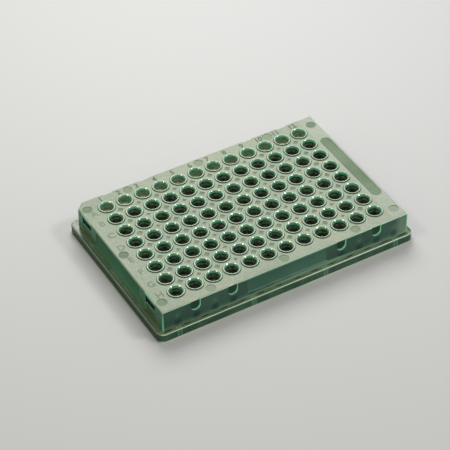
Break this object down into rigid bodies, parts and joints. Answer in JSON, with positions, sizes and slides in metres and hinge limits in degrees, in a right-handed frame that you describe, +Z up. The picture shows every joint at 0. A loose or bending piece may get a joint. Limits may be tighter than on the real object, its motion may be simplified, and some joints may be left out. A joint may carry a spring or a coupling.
{
  "type": "well plate",
  "caption": "Low rectangular well plate with a raised rim round each tapered tube, a notched skirt, a stepped flange and one cut corner.",
  "frame": {"origin": "centre of the rectangular footprint, on the surface the plate stands on", "axes": "+X along the long side from column 1 to column 12, +Y across the plate towards row A, +Z up out of the wells"},
  "size_m": [0.1278, 0.0854, 0.0154],
  "materials": {
    "clear_green_plastic": "translucent, frosted on the deck"
  },
  "bodies": {
    "root": {"well_plate": "clear_green_plastic"}
  },
  "joints": []
}
